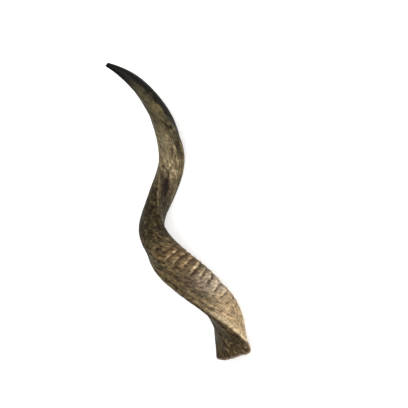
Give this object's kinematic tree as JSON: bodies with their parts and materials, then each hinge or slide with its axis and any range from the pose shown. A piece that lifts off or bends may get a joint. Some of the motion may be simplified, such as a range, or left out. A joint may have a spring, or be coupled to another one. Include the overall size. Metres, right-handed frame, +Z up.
{
  "type": "shofar",
  "caption": "Long spiral antelope-horn trumpet, lying down: a narrow blowing tip with a drilled bore, a wound hollow body with a keel and cross ridges, and a wide sawn bell.",
  "frame": {"origin": "the middle of the bottom of the lying horn's bounding box, on the table", "axes": "+X from the blowing tip towards the bell along the coil's axis, +Z up from the table, +Y to the left of +X"},
  "size_m": [0.605, 0.144, 0.1347],
  "materials": {
    "horn": "natural horn, satin, grain along its length, nearly black at the tip and pale tan towards the bell"
  },
  "bodies": {
    "root": {"mouth_tip": "horn", "upper_turn": "horn", "middle_turn": "horn", "ridged_turn": "horn", "bell_end": "horn"}
  },
  "joints": []
}
